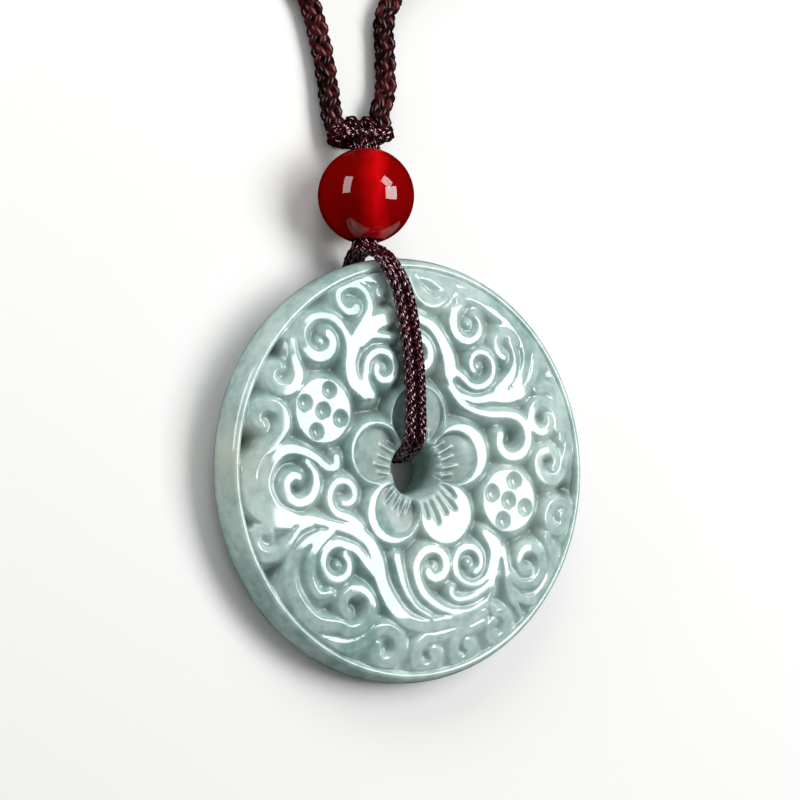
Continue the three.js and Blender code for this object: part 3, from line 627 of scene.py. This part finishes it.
# The cutter leaves the foot of each flank a little rounded. The crown falls away towards the lip.
FOOT_SOFTENING = 0.16
EDGE_FALL = 0.95
soft = blurred(inside, FOOT_SOFTENING)
inside = inside + (soft - inside) * eased(-inside, 0.05, 0.45)
fall = np.clip(-inside / FLANK, 0, 1)
height_share = np.where(inside > 0, 1, (1 - fall) ** FLANK_BEND)
slope_share = np.clip((RADIUS - (LIP_OUTER - CROWN_SLOPE)) / (LIP_INNER - LIP_OUTER + CROWN_SLOPE), 0, 1)
crown = LIP_HEIGHT + (CROWN_HEIGHT - LIP_HEIGHT) * (1 - EDGE_FALL * slope_share ** 2)

# Hand polishing leaves the crests not quite level. Gentle waves of seeded sizes stand for it.
POLISH_WAVES = 9
POLISH_HEIGHT = 0.01
POLISH_LOSS = 0.004
SHORTEST_WAVE = 3.5
LONGEST_WAVE = 8.0
luck = np.random.default_rng(11)
for _ in range(POLISH_WAVES):
    heading = luck.uniform(0, math.tau)
    length = luck.uniform(SHORTEST_WAVE, LONGEST_WAVE)
    phase = luck.uniform(0, math.tau)
    run = X * math.cos(heading) + Y * math.sin(heading)
    crown = crown + POLISH_HEIGHT * np.sin(math.tau * run / length + phase) - POLISH_LOSS

# The upper right of the rim has a plain shoulder instead of a deep channel.
SHOULDER_ANGLE = math.radians(52)
SHOULDER_DROP = 0.25
facing = np.cos(np.arctan2(Y, X) - SHOULDER_ANGLE)
shoulder = eased(facing, 0.72, 0.92) * eased(RADIUS, 18.2, 20.0)
ground = CROWN_HEIGHT - GROUND_DEPTH
ground = ground + (crown - SHOULDER_DROP - CROWN_HEIGHT + GROUND_DEPTH) * shoulder
height = ground + (crown - ground) * height_share


def drilled(x, y, depth, spread, sparing):
    """How much a round drill takes away about a point. It spares the crests."""
    away = (X - x) ** 2 + (Y - y) ** 2
    return depth * np.exp(-away / (2 * spread ** 2)) * (1 - height_share) ** sparing


# Pockets drilled deeper at the foot of the lip: x, y and depth.
POCKETS = ((-19.8, -7.3, 1.35), (-20.9, 0.8, 1.05), (-20.4, 6.1, 0.75), (-17.8, 10.6, 1.05),
           (-16.8, -11.6, 0.9), (14.7, -13.2, 1.05), (16.3, 11.2, 0.75), (-13.6, 15.8, 0.75),
           (19.6, -0.6, 0.75))
POCKET_SPREAD = 0.85
for x, y, depth in POCKETS:
    height = height - drilled(x, y, depth, POCKET_SPREAD, 0.4)

# The eyes of the curls beside the rim are drilled, and those nearer the middle hold a low round boss.
EYES = ((-18.2, 8.2), (-19.2, 3.5), (-17.9, -8.3), (-7.3, -14.6), (-3.2, -18.7), (2.7, -19.3), (7.3, -18.4),
        (11.3, -15.9), (14.4, -8.4), (-14.9, -3.3), (11.0, 4.4), (16.9, 2.4), (15.7, 6.9))
EYE_DEPTH = 0.5
EYE_SPREAD = 0.4
for x, y in EYES:
    height = height - drilled(x, y, EYE_DEPTH, EYE_SPREAD, 0.5)
BOSSES = ((-9.3, -10.7), (2.8, -10.0), (7.1, -9.2), (5.4, 16.1), (6.9, 11.6), (-13.0, 12.2), (-9.5, 16.8),
          (-5.3, 10.1))
BOSS_RADIUS = 1.05
BOSS_DROP = 0.3
BOSS_ROUNDING = 0.75
for x, y in BOSSES:
    away = np.hypot(X - x, Y - y) / BOSS_RADIUS
    boss = crown - BOSS_DROP - BOSS_ROUNDING * away ** 2
    height = np.where(away < 1, np.maximum(height, boss), height)

# Round dimples for the seeds, one in the middle of each pod and four about it.
DIMPLE_RADII = (0.88, 0.95)
DIMPLE_DEPTH = 0.45
DIMPLE_REACH = 2.3
DIMPLE_ANGLES = [math.radians(75 + 90 * i) for i in range(4)]
for (x, y), dimple in zip(PODS, DIMPLE_RADII):
    spots = [(x + DIMPLE_REACH * math.cos(a), y + DIMPLE_REACH * math.sin(a)) for a in DIMPLE_ANGLES]
    for spot_x, spot_y in [(x, y), *spots]:
        share = np.hypot(X - spot_x, Y - spot_y) / dimple
        height = height - DIMPLE_DEPTH * np.clip(1 - share ** 2, 0, 1)

# Petals: each is dished and keeps a crest on its outer side, but for the lower right one, which is flat.
# A dish is its depth, its slope, how far it lies aside and its radius. Short ribs run out from the mouth
# of the hole along the dished petals, and leaf-shaped grooves along the flat one.
PETAL_DISHES = ((0.15, 0.235, -0.85, -0.5, 2.85), (0.12, 0.16, 0, -0.1, 3.4), (0.2, 0.17, 0.25, -0.2, 3.05),
                (0.2, 0.2, 0.7, 0.4, 2.9), None)
DISH_EDGE = 0.3
GROOVE_SPOTS = (-27, -14, 1, 14, 26)
GROOVE_START = 3.3
GROOVE_LENGTHS = (0.65, 1.0, 0.85, 1.0, 0.7)
GROOVE_TURN = 0.85
GROOVE_DEPTH = 0.42
LONGEST_GROOVE = 2.8
LONGEST_RIB = 1.9
LEAF_WIDTH = 0.5
RIB_RISE = 0.04
RIB_HALF = 0.12
RIB_STEEPNESS = 2.2


def petal_fall(dish, middle, angle, x, y):
    """How far a dished petal lies below the crown. It falls away towards the hole."""
    depth, slope, _, _, radius = dish
    return depth + slope * (radius + middle[0] * math.cos(angle) + middle[1] * math.sin(angle)
                            - x * math.cos(angle) - y * math.sin(angle))


for angle, dish in zip(PETAL_ANGLES, PETAL_DISHES):
    longest = LONGEST_GROOVE
    if dish:
        _, _, aside_x, aside_y, radius = dish
        middle = (PETAL_DISTANCE * math.cos(angle) + aside_x, PETAL_DISTANCE * math.sin(angle) + aside_y)
        edge = radius - np.hypot(X - middle[0], Y - middle[1])
        fallen = petal_fall(dish, middle, angle, X, Y)
        height = height - fallen * eased(edge, 0, DISH_EDGE) * (inside > -DISH_EDGE)
        longest = LONGEST_RIB
    for spot, part in zip(GROOVE_SPOTS, GROOVE_LENGTHS):
        start_angle = angle + math.radians(spot)
        end_angle = angle + math.radians(spot * GROOVE_TURN)
        start = np.array((math.cos(start_angle), math.sin(start_angle))) * GROOVE_START
        finish = np.array((math.cos(end_angle), math.sin(end_angle))) * (GROOVE_START + longest * part)
        cut = finish - start
        share = (X - start[0]) * cut[0] + (Y - start[1]) * cut[1]
        share = np.clip(share / np.sum(cut ** 2), 0, 1)
        away = np.hypot(X - start[0] - share * cut[0], Y - start[1] - share * cut[1])
        if dish:
            rib = CROWN_HEIGHT - petal_fall(dish, middle, angle, *finish) + RIB_RISE
            height = np.maximum(height, rib - RIB_STEEPNESS * np.clip(away - RIB_HALF, 0, None))
        else:
            leaf = LEAF_WIDTH * (0.55 + 1.7 * share * (1 - share))
            height = height - GROOVE_DEPTH * eased(1 - away / leaf, 0, 0.7)

# The mouth of the hole is a wide shallow funnel. The last polish softens every edge a little.
MOUTH_RADIUS = 3.65
MOUTH_FOOT = 3.05
MOUTH_BEND = 1.5
POLISH_SOFTENING = 0.06
mouth_share = np.clip((RADIUS - THROAT_RADIUS) / (MOUTH_RADIUS - THROAT_RADIUS), 0, 1)
mouth = MOUTH_FOOT + (CROWN_HEIGHT - MOUTH_FOOT) * (1 - (1 - mouth_share) ** MOUTH_BEND)
height = np.where(RADIUS < MOUTH_RADIUS, np.minimum(height, mouth), height)
height = blurred(height, POLISH_SOFTENING)


def face_height(x, y):
    """The carved face's height over the disc's back, read between the cells of the field."""
    column = (x - cells[0]) / FIELD_STEP
    row = (y - cells[0]) / FIELD_STEP
    i, j = column.astype(int), row.astype(int)
    u, v = column - i, row - j
    return (height[j, i] * (1 - u) * (1 - v) + height[j, i + 1] * u * (1 - v)
            + height[j + 1, i] * (1 - u) * v + height[j + 1, i + 1] * u * v)


def ring(radius, z, count):
    """Points round the disc's axis at height z, or on the carved face where z is None."""
    angles = np.arange(count) * 2 * np.pi / count
    x = radius * np.cos(angles)
    y = radius * np.sin(angles)
    return np.column_stack([x, y, face_height(x, y) if z is None else np.full(count, z)])


DOME_RADII = (0, 15, 18.5, LIP_INNER)
DOME_HEIGHTS = (CROWN_HEIGHT, CROWN_HEIGHT, 5.16, 4.5)


def carved_depth(points):
    """How deep points of the face lie below the uncut dome, as a share of the depth of the ground."""
    radius = np.hypot(points[:, 0], points[:, 1])
    dome = np.interp(radius, DOME_RADII, DOME_HEIGHTS)
    return np.clip((dome - points[:, 2]) / GROUND_DEPTH, 0, 1.5) * eased(radius, 3.0, 4.2)


def stitched(first, first_count, second, second_count):
    """Triangles between two rings of points with unlike counts, turning the same way."""
    faces = []
    i = j = 0
    while i < first_count or j < second_count:
        if j == second_count or (i < first_count and (i + 1) * second_count <= (j + 1) * first_count):
            faces.append((first + i % first_count, first + (i + 1) % first_count, second + j % second_count))
            i += 1
        else:
            faces.append((first + i % first_count, second + (j + 1) % second_count,
                          second + j % second_count))
            j += 1
    return faces


# The rings start in the hole and run over the face, down the rounded wall, across the back and up to the
# hole again. The wall's are given from the face outwards as radius and height.
FACE_OUTER = 21.1
HOLE_SIDES = 72
MOUTH_SIDES = 100
LIP_SIDES = 900
WALL_SIDES = 360
BACK_SIDES = 120
FINE_ABOVE = 4
hole_rings = [ring(THROAT_RADIUS, 0.35, HOLE_SIDES), ring(THROAT_RADIUS, 1.6, HOLE_SIDES),
              ring(THROAT_RADIUS, 2.85, MOUTH_SIDES)]
face_radii = np.linspace(THROAT_RADIUS + 0.12, FACE_OUTER, round((FACE_OUTER - THROAT_RADIUS) / MESH_STEP))
face_rings = [ring(radius, None, round(2 * math.pi * radius / MESH_STEP)) for radius in face_radii]
wall = [(21.18, 4.08), (21.27, 4.2), (21.37, 4.3), (21.48, 4.36), (21.6, 4.39), (21.72, 4.37), (21.85, 4.3),
        (21.98, 4.17), (22.12, 3.94), (22.27, 3.55), (22.4, 3.05), (22.48, 2.5), (22.5, 1.9), (22.45, 1.25),
        (22.28, 0.68), (22.0, 0.3), (21.6, 0.08), (BACK_RADIUS, 0)]
wall_rings = [ring(radius, z, LIP_SIDES if z > FINE_ABOVE else WALL_SIDES) for radius, z in wall]
back_rings = [ring(12, 0, BACK_SIDES), ring(THROAT_RADIUS + 0.35, 0, HOLE_SIDES),
              ring(THROAT_RADIUS + 0.1, 0.1, HOLE_SIDES)]
rings = hole_rings + face_rings + wall_rings + back_rings

counts = [len(r) for r in rings]
starts = np.concatenate([[0], np.cumsum(counts)])[:-1]
faces = []
for k in range(len(rings)):
    after = (k + 1) % len(rings)
    faces += stitched(starts[k], counts[k], starts[after], counts[after])
placed = [on_disc(*p) for p in np.vstack(rings)]
disc_mesh = bpy.data.meshes.new("jade_disc_carved")
disc_mesh.from_pydata(in_metres(placed).tolist(), [], [tuple(int(n) for n in face) for face in faces])
disc_mesh.shade_smooth()
depths = [np.zeros(len(r)) for r in hole_rings]
depths += [carved_depth(r) for r in face_rings]
depths += [np.zeros(len(r)) for r in wall_rings + back_rings]
carved = disc_mesh.attributes.new("carved_depth", "FLOAT", "POINT")
carved.data.foreach_set("value", np.concatenate(depths).astype(np.float32))
jade_disc = bpy.data.objects.new("jade_disc_carved", disc_mesh)
bpy.context.scene.collection.objects.link(jade_disc)

jade, tree, shader = new_material("jade", {
    "IOR": 1.66, "Specular IOR Level": 0.55, "Subsurface Weight": 0.35,
    "Subsurface Radius": (1.0, 1.15, 1.1), "Subsurface Scale": 0.9 * MM})
SPECK_SHARE = 0.5
place = add_node(tree, "ShaderNodeTexCoord", {})["Object"]
clouds = add_node(tree, "ShaderNodeTexNoise", {
    "Vector": place, "Scale": 90, "Detail": 8, "Roughness": 0.6, "Distortion": 0.8})["Fac"]
specks = add_node(tree, "ShaderNodeTexNoise", {"Vector": place, "Scale": 900, "Detail": 3})["Fac"]
mottled = maths_node(tree, "MULTIPLY_ADD", specks, SPECK_SHARE, clouds)
stone = colour_ramp(tree, mottled, ((0.56, (0.19, 0.31, 0.29)), (0.94, (0.45, 0.56, 0.53))))

# A paler patch is painted down the left of the rim.
PATCH_MIDDLE = in_metres([on_disc(-22.0, -0.5, 3.0)])[0]
from_patch = add_node(tree, "ShaderNodeVectorMath", {0: place, 1: PATCH_MIDDLE}, operation="DISTANCE")
patch = add_node(tree, "ShaderNodeMapRange", {
    "Value": from_patch["Value"], "From Min": 5.5 * MM, "From Max": 0, "To Max": 0.85})[0]
pale_patch = add_node(tree, "ShaderNodeMix", {
    "Factor": patch, "A": stone, "B": (0.47, 0.5, 0.43, 1)}, data_type="RGBA")["Result"]

# The ground of the relief is painted darker, as painted shade in the recesses, and is less polished, so not
# as glossy as the crests.
depth = add_node(tree, "ShaderNodeAttribute", {}, attribute_name="carved_depth")["Fac"]
share = add_node(tree, "ShaderNodeMapRange", {
    "Value": depth, "From Min": 0.2, "From Max": 0.98, "To Max": 1})[0]
stone_and_painted_shade = add_node(tree, "ShaderNodeMix", {
    "Factor": share, "A": pale_patch, "B": (0.015, 0.04, 0.028, 1)}, data_type="RGBA")["Result"]
tree.links.new(stone_and_painted_shade, shader.inputs["Base Color"])
gloss = add_node(tree, "ShaderNodeMapRange", {
    "Value": depth, "From Min": 0.22, "From Max": 0.6, "To Min": 0.09, "To Max": 0.4})[0]
tree.links.new(gloss, shader.inputs["Roughness"])
disc_mesh.materials.append(jade)
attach(jade_disc, "root")
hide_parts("jade_disc")

# The bead. A round bead of dark red agate, bored along the cord and polished like glass. Some light goes
# through it, and the glow in its middle is painted: a brighter band of red across it, darker either side.
BEAD_LEAN = math.radians(2)
GLOW_ACROSS = Vector((0.83, 0.04, 0.555))
BEAD_ROWS = 60
BEAD_SIDES = 96
bore_angle = math.asin(BORE_RADIUS / BEAD_RADIUS)
profile = [(BEAD_RADIUS * math.sin(a), -BEAD_RADIUS * math.cos(a))
           for a in np.linspace(bore_angle, math.pi - bore_angle, BEAD_ROWS)]
BORE_EASE = 0.12
BORE_WAIST = 0.15
BORE_EDGE = 0.1
profile += [(BORE_RADIUS - BORE_EASE, BORE_HALF - BORE_EDGE), (BORE_RADIUS - BORE_WAIST, 0),
            (BORE_RADIUS - BORE_EASE, BORE_EDGE - BORE_HALF)]
bead_middle = Vector((BEAD_X, BEAD_Y, BEAD_RADIUS))
bead_points = []
for radius, along in profile:
    for k in range(BEAD_SIDES):
        angle = 2 * math.pi * k / BEAD_SIDES
        local = Vector((radius * math.cos(angle), along, radius * math.sin(angle)))
        bead_points.append(Matrix.Rotation(BEAD_LEAN, 3, "Z") @ local + bead_middle)
bead_faces = []
for row in range(len(profile)):
    below = (row + 1) % len(profile)
    for k in range(BEAD_SIDES):
        beside = (k + 1) % BEAD_SIDES
        bead_faces.append((row * BEAD_SIDES + k, below * BEAD_SIDES + k, below * BEAD_SIDES + beside,
                           row * BEAD_SIDES + beside))
bead_mesh = bpy.data.meshes.new("agate_bead_round")
bead_mesh.from_pydata(in_metres(bead_points).tolist(), [], bead_faces)
bead_mesh.shade_smooth()
bead = bpy.data.objects.new("agate_bead_round", bead_mesh)
bpy.context.scene.collection.objects.link(bead)
agate, tree, shader = new_material("agate", {
    "Roughness": 0.03, "IOR": 1.54, "Subsurface Weight": 0.3, "Subsurface Radius": (2, 0.1, 0.1),
    "Subsurface Scale": MM, "Transmission Weight": 0.3})

# Painted glow: a brighter band crosses the stone, its edges stirred by clouds.
STIRRING = 0.35
place = add_node(tree, "ShaderNodeTexCoord", {})["Object"]
offset = add_node(tree, "ShaderNodeVectorMath", {0: place, 1: in_metres([bead_middle])[0]},
                  operation="SUBTRACT")[0]
across = add_node(tree, "ShaderNodeVectorMath", {0: offset, 1: GLOW_ACROSS / BEAD_RADIUS / MM},
                  operation="DOT_PRODUCT")["Value"]
clouds = add_node(tree, "ShaderNodeTexNoise", {"Vector": place, "Scale": 330, "Detail": 5})["Fac"]
stirred = maths_node(tree, "MULTIPLY_ADD", clouds, STIRRING, across)
spread = add_node(tree, "ShaderNodeMapRange", {"Value": stirred, "From Min": -0.85, "From Max": 1.2})[0]
red = colour_ramp(tree, spread, (
    (0.0, (0.2, 0.0008, 0.0008)), (0.42, (0.21, 0.001, 0.001)), (0.56, (0.5, 0.002, 0.003)),
    (0.62, (0.7, 0.003, 0.006)), (0.76, (0.25, 0.001, 0.001)), (1.0, (0.24, 0.001, 0.001))))
tree.links.new(red, shader.inputs["Base Color"])
bead_mesh.materials.append(agate)
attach(bead, "root")
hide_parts("agate_bead")

# The floor and the light: a pale table, a softbox where the flat crests mirror it into the view, a
# smaller one above it, a strip at the left and a dim pale sky.
floor_mesh = bpy.data.meshes.new("table_top")
TABLE_METRES = 3.0
corners = [(x * TABLE_METRES, y * TABLE_METRES, 0) for x, y in ((-1, -1), (1, -1), (1, 1), (-1, 1))]
floor_mesh.from_pydata(corners, [], [(0, 1, 2, 3)])
floor = bpy.data.objects.new("table_top", floor_mesh)
bpy.context.scene.collection.objects.link(floor)
pale = new_material("pale_table", {"Base Color": (0.72, 0.72, 0.71, 1), "Roughness": 0.7})[0]
floor_mesh.materials.append(pale)
floor.visible_glossy = False


def softbox(name, target, direction, distance, width, height, power, mirrored=True):
    """A softbox that faces the target from a direction in the disc's own axes."""
    data = bpy.data.lights.new(name, "AREA")
    data.shape = "RECTANGLE"
    data.size = width * MM
    data.size_y = height * MM
    data.energy = power
    light = bpy.data.objects.new(name, data)
    bpy.context.scene.collection.objects.link(light)
    light.visible_glossy = mirrored
    away = (LEAN @ Vector(direction)).normalized()
    light.location = in_metres([target + away * distance])[0]
    light.rotation_mode = "QUATERNION"
    light.rotation_quaternion = (-away).to_track_quat("-Z", "Y")


softbox("window", CARVING_MIDDLE, (0.482, 0.155, 0.862), distance=420, width=190, height=230, power=1.3)
softbox("upper_window", bead_middle, (0.3, 0.46, 0.835), distance=420, width=170, height=140, power=0.58)
softbox("left_window", bead_middle, (-0.953, 0.275, 0.17), distance=230, width=150, height=78, power=0.2)
softbox("top_fill", CARVING_MIDDLE, (-0.3, 0.82, 0.48), distance=500, width=350, height=220, power=0.95,
        mirrored=False)

# The scene has its sky before the sky's settings, which Blender passes on to the scene.
world = bpy.data.worlds.new("dim_sky")
bpy.context.scene.world = world
world.use_nodes = True
world.node_tree.nodes["Background"].inputs["Color"].default_value = (1, 1, 1, 1)
world.node_tree.nodes["Background"].inputs["Strength"].default_value = 0.26
world.cycles_visibility.glossy = False
bpy.context.scene.view_settings.view_transform = "Standard"
